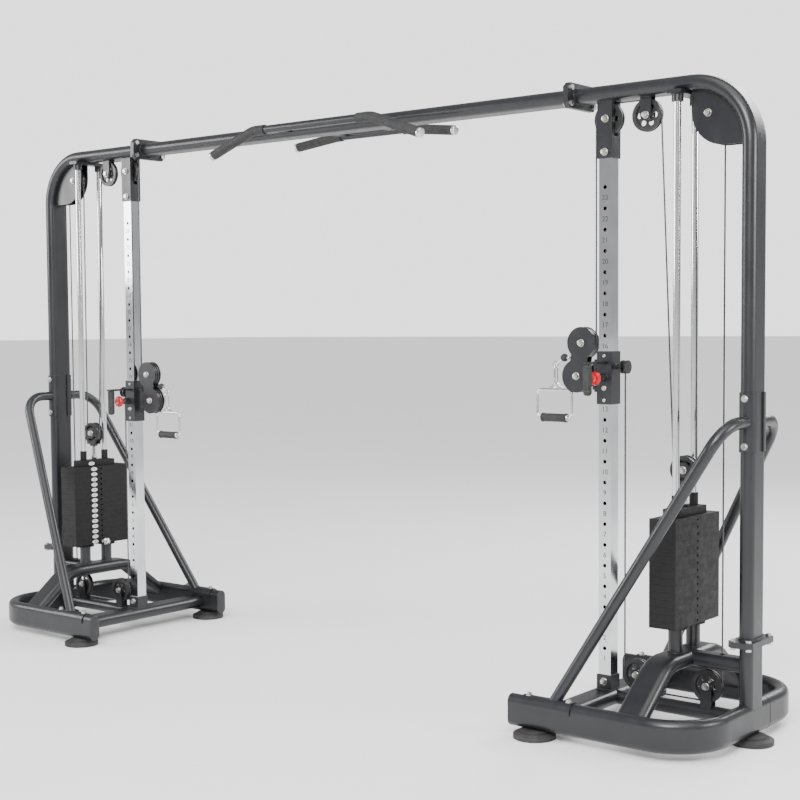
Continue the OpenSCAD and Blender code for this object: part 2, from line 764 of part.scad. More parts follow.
// Oval link of round wire in the y-z plane, given the heights of its end bars' middles
module link(low, high) {
    for (y = [-link_r, link_r]) translate([0, y, low + link_r]) cylinder(d = link_d, h = high - low - 2 * link_r);
    translate([0, 0, high - link_r]) rotate([90, 0, 90])
        rotate_extrude(angle = 180) translate([link_r, 0]) circle(d = link_d);
    translate([0, 0, low + link_r]) rotate([90, 0, 90]) rotate(180)
        rotate_extrude(angle = 180) translate([link_r, 0]) circle(d = link_d);
}

// Stop ball, hook and link at the end of the cable
module cable_end(s) color("#b9bbbd") side(s) translate([0, 0, carriage_z(s)]) {
    difference() {
        union() {
            translate([ball_x, 0, exit_up]) sphere(d = 28);
            rod_between([ball_x, 0, exit_up], [eye_x, 0, ring_up], 9);
            translate([eye_x, 0, ring_up]) flat_ring(ring_r, ring_hole / 2, link_d);
        }
        translate([eye_x, 0, ring_up]) rotate([90, 0, 0]) cylinder(r = ring_hole, h = 40, center = true);
    }
    translate([eye_x, 0, 0]) link(link_bottom, link_top);
}

// Round-cornered wire loop with the eye it hangs from
module handle_frame(s) color("#c2c4c6") side(s) translate([handle_x, 0, carriage_z(s)]) {
    w = handle_w / 2;
    for (x = [-1, 1]) {
        for (z = [handle_top, handle_bar])
            translate([x * (w - handle_corner), 0, z + (z == handle_top ? -handle_corner : handle_corner)])
                rotate([90, 0, 0]) rotate(x > 0 ? (z == handle_top ? 0 : 270) : (z == handle_top ? 90 : 180))
                    rotate_extrude(angle = 90) translate([handle_corner, 0]) circle(d = handle_d);
        translate([x * w, 0, handle_bar + handle_corner])
            cylinder(d = handle_d, h = handle_top - handle_bar - 2 * handle_corner);
    }
    for (z = [handle_top, handle_bar]) translate([handle_corner - w, 0, z]) rotate([0, 90, 0])
        cylinder(d = handle_d, h = 2 * (w - handle_corner));
    difference() {
        upright_plate(-4, 8) difference() {
            union() {
                translate([eye_x - handle_x, eye_up]) circle(r = ring_r);
                polygon([[-26, handle_top], [38, handle_top], [38, handle_top + 6],
                    [eye_x - handle_x + 12, eye_up + 4], [eye_x - handle_x - 12, eye_up + 4], [-26, handle_top + 6]]);
            }
            translate([eye_x - handle_x, eye_up]) circle(r = ring_hole);
        }
        translate([-w, 0, handle_top]) rotate([0, 90, 0]) cylinder(d = handle_d - 0.4, h = 2 * w);
    }
}

module handle_grip(s) color("#17171a") side(s) translate([handle_x, 0, carriage_z(s) + handle_bar])
    rotate([0, 90, 0]) rotate_extrude() polygon([
        [handle_d / 2 + 0.3, -grip_half], [15.5, -grip_half], [17, 1.5 - grip_half], [17, 6 - grip_half],
        [15.5, 8 - grip_half], [15.5, grip_half - 8], [17, grip_half - 6], [17, grip_half - 1.5],
        [15.5, grip_half], [handle_d / 2 + 0.3, grip_half],
    ]);

module front_cable(s) color("#3a3a3c") side(s)
    cable_run(pivot_x, carriage_z(s) + swivel_up[1], pivot_x, top_pulley_z);

module swivel_cable(s) color("#3a3a3c") side(s) translate([0, 0, carriage_z(s)]) {
    cable_arc(swivel_up[0], swivel_up[1], rope_r, 270, 90);
    cable_run(ball_x + 14.3, exit_up, swivel_up[0], exit_up);
}

module anchor_cable(s) color("#3a3a3c") side(s)
    cable_run(anchor_x, lower_pulley_z, anchor_x, carriage_z(s) + anchor_up - 9);

// The two runs are a hair thinner than the turn they reach into
module stack_cables(s) color("#3a3a3c") side(s) {
    cable_arc(rod_x, stack_pulley_z, stack_rope_r, 180, 180);
    for (run = [[rod_x - stack_rope_r, hang_x + rope_r, top_pulley_z],
                [rod_x + stack_rope_r, lower_out_x - rope_r, outer_pulley_z]])
        rod_between([run[0], 0, stack_pulley_z - 0.8], [run[1], 0, run[2] - 0.4], cable_d - 0.2, $fn = 24);
}

base_frame(-1);  // base_frame_left
base_frame(1);  // base_frame_right
column_frame(-1);  // column_frame_left
column_frame(1);  // column_frame_right
upright(-1);  // upright_left
upright(1);  // upright_right
crossbar();
pull_up_grips();
handrails();
guide_rods();
rod_bumpers();
rubber_feet();
frame_bolts();
fixed_cables();
carriage(-1);  // carriage_left
carriage(1);  // carriage_right
carriage_grip(-1);  // carriage_grip_left
carriage_grip(1);  // carriage_grip_right
pop_pin(-1);  // pop_pin_left
pop_pin(1);  // pop_pin_right
swivel_housing(-1);  // swivel_housing_left
swivel_housing(1);  // swivel_housing_right
swivel_pulley(-1, swivel_up);  // swivel_upper_pulley_left
swivel_pulley(1, swivel_up);  // swivel_upper_pulley_right
swivel_pulley(-1, swivel_low);  // swivel_lower_pulley_left
swivel_pulley(1, swivel_low);  // swivel_lower_pulley_right
large_pulley(-1, top_pulley_x, top_pulley_z);  // top_pulley_left
large_pulley(1, top_pulley_x, top_pulley_z);  // top_pulley_right
large_pulley(-1, hang_x, top_pulley_z);  // hanging_pulley_left
large_pulley(1, hang_x, top_pulley_z);  // hanging_pulley_right
large_pulley(-1, lower_out_x, outer_pulley_z);  // outer_pulley_left
large_pulley(1, lower_out_x, outer_pulley_z);  // outer_pulley_right
large_pulley(-1, lower_out_x, lower_pulley_z);  // base_outer_pulley_left
large_pulley(1, lower_out_x, lower_pulley_z);  // base_outer_pulley_right
large_pulley(-1, lower_in_x, lower_pulley_z);  // base_inner_pulley_left
large_pulley(1, lower_in_x, lower_pulley_z);  // base_inner_pulley_right
stack_pulley(-1);  // stack_pulley_left
stack_pulley(1);  // stack_pulley_right
weight_plates(-1);  // weight_plates_left
weight_plates(1);  // weight_plates_right
head_plate(-1);  // head_plate_left
head_plate(1);  // head_plate_right
stack_pulley_yoke(-1);  // stack_pulley_yoke_left
stack_pulley_yoke(1);  // stack_pulley_yoke_right
selector_pin(-1);  // selector_pin_left
selector_pin(1);  // selector_pin_right
cable_end(-1);  // cable_end_left
cable_end(1);  // cable_end_right
handle_frame(-1);  // handle_frame_left
handle_frame(1);  // handle_frame_right
handle_grip(-1);  // handle_grip_left
handle_grip(1);  // handle_grip_right
front_cable(-1);  // front_cable_left
front_cable(1);  // front_cable_right
swivel_cable(-1);  // swivel_cable_left
swivel_cable(1);  // swivel_cable_right
anchor_cable(-1);  // anchor_cable_left
anchor_cable(1);  // anchor_cable_right
stack_cables(-1);  // stack_cables_left
stack_cables(1);  // stack_cables_right
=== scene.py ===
"""Cable crossover machine: materials, cables and small detail on the CAD frame.

Lengths are metres. Both towers are built by the same functions: side is "right" or "left", s is the
sign of its x, and places written without s are those of the right tower.
"""

import json
import math

import bmesh
import bpy
from mathutils import Matrix, Vector


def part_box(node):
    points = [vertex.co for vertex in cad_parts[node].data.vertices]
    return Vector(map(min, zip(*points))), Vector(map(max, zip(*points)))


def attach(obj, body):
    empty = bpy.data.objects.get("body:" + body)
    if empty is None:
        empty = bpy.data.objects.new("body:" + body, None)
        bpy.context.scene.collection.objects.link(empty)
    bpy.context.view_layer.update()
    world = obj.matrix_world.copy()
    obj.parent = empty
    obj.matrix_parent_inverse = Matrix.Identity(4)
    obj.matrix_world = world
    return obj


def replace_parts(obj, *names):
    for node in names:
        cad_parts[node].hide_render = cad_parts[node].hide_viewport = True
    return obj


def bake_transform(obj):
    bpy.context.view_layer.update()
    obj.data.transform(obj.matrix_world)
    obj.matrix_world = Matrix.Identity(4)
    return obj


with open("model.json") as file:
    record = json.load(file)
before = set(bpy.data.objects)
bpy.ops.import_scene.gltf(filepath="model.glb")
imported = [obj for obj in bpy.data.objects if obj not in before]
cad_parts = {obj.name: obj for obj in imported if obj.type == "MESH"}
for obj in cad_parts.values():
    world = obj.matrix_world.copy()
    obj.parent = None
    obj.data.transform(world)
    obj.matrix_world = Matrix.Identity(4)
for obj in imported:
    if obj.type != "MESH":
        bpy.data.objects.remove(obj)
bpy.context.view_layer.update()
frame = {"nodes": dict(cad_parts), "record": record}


# ---------------------------------------------------------------- places

def middle(node):
    """Centre of a CAD node's box, to a hundredth of a millimetre."""
    low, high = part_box(node)
    return [round((a + b) / 2, 5) for a, b in zip(low, high)]


def hub(pulley, side):
    """A pulley's axle: how far out from the middle of the machine it is, and how high."""
    x, _, z = middle(pulley + "_" + side)
    return abs(x), z


SIDES = {"right": 1, "left": -1}
ENDS = {"front": -1, "rear": 1}
CARRIAGE_Z = {side: middle("pop_pin_" + side)[2] for side in SIDES}
PULLEYS = (
    "top_pulley",
    "hanging_pulley",
    "outer_pulley",
    "base_outer_pulley",
    "base_inner_pulley",
    "stack_pulley",
    "swivel_upper_pulley",
    "swivel_lower_pulley",
)
# Radii of the cable's centre line round the large pulleys and round the stack pulley
ROPE_R = 0.054
STACK_ROPE_R = 0.044
CABLE_R = 0.003

# Flat-oval tube of the frame, and where its parts run
TUBE_W = 0.112
TUBE_T = 0.052
POST_X = 1.837
ARM_END_X = 1.130
ARM_Y = 0.389
BASE_Z = 0.085
TOP_Z = 2.232
TOP_UNDER = 2.206
ARCH_TOP = 0.290
SEAM_Y = 0.1
FLANGE_Z = 0.348
FLANGE_X = 1.160
FLANGE_T = 0.010
EAR_FOOT_Z = 0.0975
EAR_Y = 0.017
WELD_HALF = 0.020

# Upright: a square tube with numbered holes
UPRIGHT_X = middle("upright_right")[0]
SOCKET_HALF = 0.030
SOCKET_Z = 0.104
HOLE_COUNT = 23
HOLE_PITCH = 0.075
FIRST_HOLE_Z = 0.254
NUMBER_Y = -0.02515

# Stack: plates, head plate and the guide rods' places
STACK_X = middle("head_plate_right")[0]
ROD_Y = 0.064
ROD_TOP = 2.194
COLLAR_TOP = 0.830
PLATE_COUNT = 15
PLATE_PITCH = 0.025
PLATE_Z = 0.384
PLATE_HALF = 0.0505
HEAD_HALF = 0.032

# Carriage, swivel and handle; heights called UP are above the pop pin's axis
SLEEVE_Y = -0.0305
SLEEVE_HALF = 0.0925
ANCHOR_UP = 0.030
EXIT_UP = 0.070
FERRULE_X = 1.1085
BALL_X = 1.095
HOOK_X = 1.058
HANDLE_X = 1.052
HANDLE_BAR_UP = -0.151
GRIP_Y = -0.142


# ---------------------------------------------------------------- camera

def show(obj):
    bpy.context.scene.collection.objects.link(obj)


def add_camera():
    """Camera at the photograph's place, turned by yaw, pitch and roll."""
    yaw = math.radians(39.09)
    pitch = math.radians(-3.448)
    roll = math.radians(-0.423)
    ahead = Vector((-math.sin(yaw) * math.cos(pitch), math.cos(yaw) * math.cos(pitch), math.sin(pitch)))
    level_right = Vector((math.cos(yaw), math.sin(yaw), 0))
    level_up = level_right.cross(ahead)
    right = level_right * math.cos(roll) + level_up * math.sin(roll)
    up = level_up * math.cos(roll) - level_right * math.sin(roll)
    data = bpy.data.cameras.new("camera")
    data.sensor_width = 36
    data.lens = 65.84
    data.shift_y = 0.018
    turn = Matrix((right, up, -ahead)).transposed().to_4x4()
    cam = bpy.data.objects.new("camera", data)
    cam.matrix_world = Matrix.Translation((4.0006, -4.5326, 1.4179)) @ turn
    show(cam)
    bpy.context.scene.camera = cam


add_camera()


# ---------------------------------------------------------------- materials

class Nodes:
    """Short hand for wiring one material."""

    def __init__(self, name):
        self.mat = bpy.data.materials.new(name)
        self.mat.use_nodes = True
        self.tree = self.mat.node_tree
        self.bsdf = self.tree.nodes["Principled BSDF"]

    def add(self, kind, **values):
        """A new node; each value goes to the input of that name, or else to the node's own setting."""
        n = self.tree.nodes.new(kind)
        for key, value in values.items():
            if key in n.inputs:
                n.inputs[key].default_value = value
            else:
                setattr(n, key, value)
        return n

    def link(self, a, b):
        self.tree.links.new(a, b)

    def coords(self, scale=(1, 1, 1)):
        place = self.add("ShaderNodeMapping")
        place.inputs["Scale"].default_value = scale
        self.link(self.add("ShaderNodeTexCoord").outputs["Object"], place.inputs["Vector"])
        return place.outputs["Vector"]

    def noise(self, scale, detail=3.0, stretch=(1, 1, 1), rough=0.5):
        n = self.add("ShaderNodeTexNoise", Scale=scale, Detail=detail, Roughness=rough)
        self.link(self.coords(stretch), n.inputs["Vector"])
        return n.outputs["Fac"]

    def ramp(self, fac, stops):
        """Colour ramp through (position, colour) stops."""
        r = self.add("ShaderNodeValToRGB")
        self.link(fac, r.inputs["Fac"])
        items = r.color_ramp.elements
        for item, (at, colour) in zip(items, (stops[0], stops[-1])):
            item.position = at
            item.color = tuple(colour) + (1,)
        for at, colour in stops[1:-1]:
            items.new(at).color = tuple(colour) + (1,)
        return r.outputs["Color"]

    def spread(self, fac, low, high, start=0.3, end=0.7):
        """Maps start to end of a value onto low to high."""
        m = self.add("ShaderNodeMapRange")
        limits = {"From Min": start, "From Max": end, "To Min": low, "To Max": high}
        for key, value in limits.items():
            m.inputs[key].default_value = value
        self.link(fac, m.inputs["Value"])
        return m.outputs["Result"]

    def bump(self, *layers):
        """Bump layers, each (height, strength, distance), one on another."""
        previous = None
        for fac, strength, distance in layers:
            b = self.add("ShaderNodeBump", Strength=strength, Distance=distance)
            self.link(fac, b.inputs["Height"])
            if previous is not None:
                self.link(previous, b.inputs["Normal"])
            previous = b.outputs["Normal"]
        self.link(previous, self.bsdf.inputs["Normal"])

    def set(self, **values):
        names = {
            "metallic": "Metallic",
            "coat": "Coat Weight",
            "coat_rough": "Coat Roughness",
            "spec": "Specular IOR Level",
            "rough": "Roughness",
        }
        for key, value in values.items():
            self.bsdf.inputs[names[key]].default_value = value

    def colour(self, output):
        self.link(output, self.bsdf.inputs["Base Color"])

    def roughness(self, output):
        self.link(output, self.bsdf.inputs["Roughness"])


def coated(name, dark, light, rough, grain=1100.0, depth=0.00004):
    """Powder coat: orange peel, faint cloudiness and handling marks."""
    m = Nodes(name)
    m.colour(m.ramp(m.noise(3.5, 4), [(0.3, dark), (0.7, light)]))
    marks = m.noise(26, 6, (1, 1, 0.25), 0.65)
    m.roughness(m.spread(marks, *rough))
    m.bump((m.noise(grain, 2), 0.35, depth), (m.noise(grain * 0.22, 2), 0.2, depth * 2.5))
    return m.mat


def bright_metal(name, dark, light, rough, grain, stretch=(1, 1, 1), depth=0.00001, smudge=6.0):
    """Plated or ground metal: grinding lines across the axes that stretch raises, and smudges."""
    m = Nodes(name)
    m.set(metallic=1.0)
    m.colour(m.ramp(m.noise(smudge, 5), [(0.25, dark), (0.75, light)]))
    lines = m.noise(grain, 3, stretch, 0.6)
    cloud = m.noise(smudge * 2.3, 4, (1, 1, 0.4))
    both = m.add("ShaderNodeMath", operation="MULTIPLY_ADD")
    m.link(lines, both.inputs[0])
    both.inputs[1].default_value = 0.35
    m.link(cloud, both.inputs[2])
    m.roughness(m.spread(both.outputs[0], *rough, 0.4, 0.95))
    m.bump((lines, 0.25, depth))
    return m.mat


def moulded(name, dark, light, rough, grain, depth):
    """Rubber, plastic or print: two sizes of grain and a dusty tint."""
    m = Nodes(name)
    dust = m.noise(14, 5, (1, 1, 1), 0.6)
    between = [(a + b) / 2 for a, b in zip(dark, light)]
    m.colour(m.ramp(dust, [(0.3, dark), (0.62, between), (0.8, light)]))
    m.roughness(m.spread(m.noise(60, 3), *rough))
    m.bump((m.noise(grain, 3), 0.5, depth), (m.noise(grain * 2.6, 2), 0.3, depth * 0.5))
    return m.mat


def foam(name):
    """Foam grip with a cellular pattern over its grain."""
    m = Nodes(name)
    m.colour(m.ramp(m.noise(30, 4), [(0.3, (0.009, 0.009, 0.010)), (0.75, (0.024, 0.024, 0.025))]))
    m.roughness(m.spread(m.noise(90, 2), 0.60, 0.74))
    cells = m.add("ShaderNodeTexVoronoi", Scale=420)
    cells.feature = "DISTANCE_TO_EDGE"
    m.link(m.coords(), cells.inputs["Vector"])
    m.bump((cells.outputs["Distance"], 0.6, 0.0004), (m.noise(1500, 2), 0.3, 0.00008))
    return m.mat


def sheathed(name):
    """Clear-black nylon over twisted strands, showing as a fine rope twist."""
    m = Nodes(name)
    strands = m.noise(220, 3, (1, 1, 0.4))
    m.colour(m.ramp(strands, [(0.3, (0.012, 0.012, 0.013)), (0.8, (0.045, 0.045, 0.048))]))
    m.roughness(m.spread(m.noise(120, 3), 0.2, 0.36))
    wave = m.add("ShaderNodeTexWave", Scale=130.0, Distortion=0.6)
    wave.bands_direction = "DIAGONAL"
    m.link(m.coords(), wave.inputs["Vector"])
    m.bump((wave.outputs["Fac"], 0.35, 0.0002))
    m.set(coat=0.6, coat_rough=0.12)
    return m.mat


def cast_black(name):
    """Painted iron plate: sanded casting grain, rubbed a little at random."""
    m = Nodes(name)
    stops = [
        (0.35, (0.0035, 0.0035, 0.0038)),
        (0.66, (0.0065, 0.0062, 0.0062)),
        (0.86, (0.020, 0.019, 0.018)),
    ]
    m.colour(m.ramp(m.noise(38, 6, (1, 1, 2.5), 0.7), stops))
    m.roughness(m.spread(m.noise(46, 4), 0.46, 0.64))
    m.set(spec=0.28)
    m.bump((m.noise(480, 4, (1, 1, 1), 0.65), 0.6, 0.00025), (m.noise(70, 3), 0.35, 0.0005))
    return m.mat


M = {
    "frame_paint": coated(
        "frame_paint", (0.0085, 0.0088, 0.0108), (0.0135, 0.014, 0.017),
        rough=(0.27, 0.40),
    ),
    "upright_steel": bright_metal(
        "upright_steel", (0.50, 0.51, 0.53), (0.68, 0.69, 0.70),
        rough=(0.05, 0.16), grain=60, stretch=(9, 9, 0.4),
    ),
    "polished_rod": bright_metal(
        "polished_rod", (0.74, 0.75, 0.77), (0.88, 0.89, 0.90),
        rough=(0.07, 0.17), grain=60, stretch=(1, 1, 22),
    ),
    "plate_iron": cast_black("plate_iron"),
    "rubber": moulded(
        "rubber", (0.012, 0.012, 0.013), (0.05, 0.049, 0.047),
        rough=(0.6, 0.82), grain=900, depth=0.00012,
    ),
    "foam_grip": foam("foam_grip"),
    "zinc_bolt": bright_metal(
        "zinc_bolt", (0.42, 0.41, 0.38), (0.66, 0.65, 0.62),
        rough=(0.24, 0.42), grain=700, depth=0.00004, smudge=40,
    ),
    "cable_jacket": sheathed("cable_jacket"),
    "pulley_plastic": moulded(
        "pulley_plastic", (0.010, 0.010, 0.011), (0.030, 0.030, 0.032),
        rough=(0.34, 0.5), grain=700, depth=0.00006,
    ),
    "plated_steel": bright_metal(
        "plated_steel", (0.55, 0.55, 0.56), (0.78, 0.78, 0.79),
        rough=(0.12, 0.26), grain=500, depth=0.00002, smudge=30,
    ),
    "red_plastic": moulded(
        "red_plastic", (0.40, 0.002, 0.004), (0.52, 0.004, 0.007),
        rough=(0.26, 0.38), grain=500, depth=0.00005,
    ),
}
CAP = moulded(
    "cap_plastic", (0.011, 0.011, 0.012), (0.034, 0.034, 0.036),
    rough=(0.4, 0.58), grain=800, depth=0.0001,
)
WELD = coated(
    "painted_weld", (0.008, 0.0083, 0.010), (0.014, 0.0145, 0.0175),
    rough=(0.28, 0.46), grain=420, depth=0.00025,
)
LABEL = moulded(
    "label_white", (0.62, 0.62, 0.60), (0.76, 0.76, 0.74),
    rough=(0.35, 0.5), grain=600, depth=0.00002,
)
INK = moulded(
    "ink_black", (0.010, 0.010, 0.011), (0.020, 0.020, 0.021),
    rough=(0.5, 0.65), grain=900, depth=0.00002,
)
SEAL = bright_metal(
    "bearing_steel", (0.46, 0.46, 0.47), (0.70, 0.70, 0.71),
    rough=(0.2, 0.34), grain=600, depth=0.00002, smudge=50,
)


def round_edges(obj):
    """Small bevel on the cast plates' edges."""
    edge = obj.modifiers.new("rounded_edges", "BEVEL")
    edge.width = 0.002
    edge.segments = 2
    edge.limit_method = "ANGLE"
    edge.angle_limit = math.radians(50)


slots = {e["node"]: e["material_slot"] for e in frame["record"]["subparts"]}
for node, obj in frame["nodes"].items():
    obj.data.materials.clear()
    obj.data.materials.append(M[slots[node]])
    if node.startswith("weight_plates_"):
        round_edges(obj)


# ---------------------------------------------------------------- mesh helpers

def piece(name, bm, material, body, sharp=35):
    """Finishes a bmesh as one object, attached to its body if one is given."""
    bmesh.ops.recalc_face_normals(bm, faces=bm.faces)
    data = bpy.data.meshes.new(name)
    bm.to_mesh(data)
    bm.free()
    data.materials.append(material)
    for polygon in data.polygons:
        polygon.use_smooth = True
    data.set_sharp_from_angle(angle=math.radians(sharp))
    obj = bpy.data.objects.new(name, data)
    show(obj)
    if body:
        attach(obj, body)
    return obj


def skin(bm, rings, closed=False):
    """Quads between rings of points; the ends are capped unless the rings close on each other."""
    made = [[bm.verts.new(p) for p in ring] for ring in rings]
    n = len(made[0])
    pairs = list(zip(made, made[1:])) + ([(made[-1], made[0])] if closed else [])
    for a, b in pairs:
        for i in range(n):
            bm.faces.new((a[i], a[(i + 1) % n], b[(i + 1) % n], b[i]))
    if not closed:
        bm.faces.new(made[0])
        bm.faces.new(list(reversed(made[-1])))


def turns(count):
    """Angles of a full circle in equal steps."""
    return [2 * math.pi * k / count for k in range(count)]


def circle(x, y, r, count):
    """Points of a circle in two coordinates."""
    return [(x + r * math.cos(a), y + r * math.sin(a)) for a in turns(count)]


def square(half):
    """Corners of a square in two coordinates."""
    return [(-half, -half), (half, -half), (half, half), (-half, half)]


def frames_along(points, closed=False):
    """A steady pair of side directions at each point of a path."""
    out = []
    count = len(points)
    side = None
    for i in range(count):
        a = points[(i - 1) % count] if closed or i > 0 else points[0]
        b = points[(i + 1) % count] if closed or i < count - 1 else points[-1]
        t = (b - a).normalized()
        if side is None:
            side = t.cross(Vector((0, 1, 0)))
            if side.length < 0.1:
                side = t.cross(Vector((1, 0, 0)))
        side = (side - t * side.dot(t)).normalized()
        out.append((side, t.cross(side)))
    return out


def tube(bm, points, radius, sides=12, closed=False):
    """Round tube along a path; radius is a number or a list of one for each point."""
    rings = []
    for i, (p, (u, v)) in enumerate(zip(points, frames_along(points, closed))):
        r = radius[i] if isinstance(radius, list) else radius
        rings.append([p + (u * math.cos(a) + v * math.sin(a)) * r for a in turns(sides)])
    skin(bm, rings, closed)


def lathe(bm, centre, axis, profile, sides):
    """Rings round an axis from (radius, height) pairs, skinned and capped."""
    axis = Vector(axis).normalized()
    across = Vector((0, 0, 1)) if abs(axis.z) < 0.9 else Vector((1, 0, 0))
    u = axis.cross(across).normalized()
    v = axis.cross(u)
    foot = Vector(centre)
    skin(bm, [
        [foot + axis * h + (u * math.cos(a) + v * math.sin(a)) * r for a in turns(sides)]
        for r, h in profile
    ])


def hex_head(bm, centre, axis, across, height, washer=None):
    """Hexagon head with a chamfered crown, on a washer if its diameter is given."""
    base = 0.0
    if washer:
        base = 0.0018
        rim = [(washer / 2, 0), (washer / 2, 0.0012), (washer / 2 - 0.0006, base), (across * 0.3, base)]
        lathe(bm, centre, axis, rim, 32)
    corner = across / math.sqrt(3)
    top = base + height
    crown = [(corner, base), (corner, base + height * 0.82), (corner * 0.9, top), (corner * 0.35, top)]
    lathe(bm, centre, axis, crown, 6)


def straight(a, b, count):
    """Points in equal steps from a to b."""
    a, b = Vector(a), Vector(b)
    return [a.lerp(b, i / count) for i in range(count + 1)]


def arc(centre, r, start, end, count):
    """Points round an (x, z) centre, angles in degrees from +x towards +z."""
    x, z = centre
    angles = [math.radians(start + (end - start) * i / count) for i in range(count + 1)]
    return [Vector((x + r * math.cos(a), 0, z + r * math.sin(a))) for a in angles]


def joined(*parts):
    """One path from stretches that each begin where the last one ended."""
    path = list(parts[0])
    for part in parts[1:]:
        path += part[1:]
    return path


def mirrored(points, s):
    return [Vector((p.x * s, p.y, p.z)) for p in points]


def oval_ring(w, t, count=40):
    """Flat-oval outline in two coordinates, its long side along the first."""
    out = []
    for sign in (1, -1):
        for i in range(count // 2):
            a = math.radians(-90 + 180 * i / (count // 2 - 1))
            out.append((sign * ((w - t) / 2 + t / 2 * math.cos(a)), sign * t / 2 * math.sin(a)))
    return out


def bead(name, path, body, width=0.0032, closed=True):
    """A weld: overlapping ripples along the path."""
    step = 0.0012
    ripple = 0.0048
    points = []
    ring = path + [path[0]] if closed else path
    for a, b in zip(ring, ring[1:]):
        steps = max(1, int((b - a).length / step))
        points += [a.lerp(b, i / steps) for i in range(steps)]
    if not closed:
        points.append(ring[-1])
    radius = [
        width * (0.86 + 0.14 * abs(math.sin(math.pi * i * step / ripple)) + 0.03 * math.sin(i * 0.37))
        for i in range(len(points))
    ]
    bm = bmesh.new()
    tube(bm, points, radius, 8, closed)
    return piece(name, bm, WELD, body, 80)


def lettering(name, marks, size, turn, body):
    """Digits as thin raised print, all in one mesh."""
    bm = bmesh.new()
    for text, place in marks:
        curve = bpy.data.curves.new("digits", "FONT")
        curve.body = text
        curve.size = size
        curve.align_x = "CENTER"
        curve.align_y = "CENTER"
        curve.extrude = 0.00012
        curve.resolution_u = 4
        temp = bpy.data.objects.new("digits", curve)
        show(temp)
        bpy.context.view_layer.update()
        made = bpy.data.meshes.new_from_object(temp.evaluated_get(bpy.context.evaluated_depsgraph_get()))
        made.transform(Matrix.Translation(place) @ turn)
        bm.from_mesh(made)
        bpy.data.objects.remove(temp)
        bpy.data.curves.remove(curve)
        bpy.data.meshes.remove(made)
    return piece(name, bm, INK, body, 30)


# ---------------------------------------------------------------- cables

def cable(name, points, body=None):
    """Coated cable along a path."""
    bm = bmesh.new()
    tube(bm, points, CABLE_R, 14)
    return piece(name, bm, M["cable_jacket"], body, 60)


def run(name, a, b):
    """Straight cable that stretches between two bodies."""
    obj = cable(name, straight(a, b, 60))
    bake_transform(obj)
    return obj


def add_cables(side, s):
    """One tower's loop, from the stop ball over every pulley to the carriage's anchor."""
    z = CARRIAGE_Z[side]
    top = hub("top_pulley", side)
    hanging = hub("hanging_pulley", side)
    outer = hub("outer_pulley", side)
    base_outer = hub("base_outer_pulley", side)
    base_inner = hub("base_inner_pulley", side)
    stack = hub("stack_pulley", side)
    swivel = hub("swivel_upper_pulley", side)
    highest = top[1] + ROPE_R
    lowest = base_outer[1] - ROPE_R
    outermost = outer[0] + ROPE_R
    over_top = joined(
        arc(top, ROPE_R, 180, 90, 16),
        straight((top[0], 0, highest), (hanging[0], 0, highest), 6),
        arc(hanging, ROPE_R, 90, 0, 16),
    )
    down_column = joined(
        arc(outer, ROPE_R, 180, 0, 30),
        straight((outermost, 0, outer[1]), (outermost, 0, base_outer[1]), 40),
        arc(base_outer, ROPE_R, 360, 270, 16),
        straight((base_outer[0], 0, lowest), (base_inner[0], 0, lowest), 8),
        arc(base_inner, ROPE_R, 270, 180, 16),
    )
    fixed = cable("cable_over_top_" + side, mirrored(over_top, s), "frame")
    if side == "right":
        # The node holds both towers' fixed cables, so one piece stands for it
        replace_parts(fixed, "fixed_cables")
    cable("cable_down_column_" + side, mirrored(down_column, s), "frame")

    x = s * (top[0] - ROPE_R)
    front = run("cable_front_run_" + side, (x, 0, swivel[1]), (x, 0, top[1]))
    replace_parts(front, "front_cable_" + side)
    x = s * (base_inner[0] - ROPE_R)
    low, high = (x, 0, base_inner[1]), (x, 0, z + ANCHOR_UP)
    anchor = run("cable_anchor_run_" + side, low, high)
    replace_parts(anchor, "anchor_cable_" + side)

    inner_run = (stack[0] - STACK_ROPE_R, hanging[0] + ROPE_R, hanging[1])
    outer_run = (stack[0] + STACK_ROPE_R, outer[0] - ROPE_R, outer[1])
    for tag, (low_x, high_x, high_z) in (("inner", inner_run), ("outer", outer_run)):
        low, high = (s * low_x, 0, stack[1]), (s * high_x, 0, high_z)
        run("cable_stack_%s_run_%s" % (tag, side), low, high)
    under = mirrored(arc(stack, STACK_ROPE_R, 180, 360, 30), s)
    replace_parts(cable("cable_stack_turn_" + side, under, "stack_" + side), "stack_cables_" + side)

    inward = mirrored(arc(swivel, ROPE_R, 360, 270, 20), s)
    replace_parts(cable("cable_swivel_turn_" + side, inward, "swivel_" + side), "swivel_cable_" + side)
    start, end = (s * swivel[0], 0, z + EXIT_UP), (s * FERRULE_X, 0, z + EXIT_UP)
    run("cable_handle_run_" + side, start, end)


# ---------------------------------------------------------------- frame detail

def end_cap(name, s, y):
    """Domed plug with a rim on the open end of a base arm."""
    # Each ring: how much wider than the tube, and how far out of its end
    profile = [
        (-0.004, -0.012), (-0.004, 0.0002), (0.0, 0.0004), (0.0004, 0.0022), (-0.0006, 0.0038),
        (-0.006, 0.0052), (-0.016, 0.0066), (-0.030, 0.0074), (-0.046, 0.0077),
    ]
    rings = []
    for grow, out in profile:
        outline = oval_ring(TUBE_W + grow, TUBE_T + grow, 48)
        rings.append([Vector((s * (ARM_END_X - out), y + q, BASE_Z + p)) for p, q in outline])
    bm = bmesh.new()
    skin(bm, rings)
    piece(name, bm, CAP, "frame", 50)


def short_weld(name, s, x, y, z, width):
    """Straight weld on the frame, centred on x and laid outwards."""
    path = straight((s * (x - WELD_HALF), y, z), (s * (x + WELD_HALF), y, z), 4)
    bead(name, path, "frame", width, closed=False)


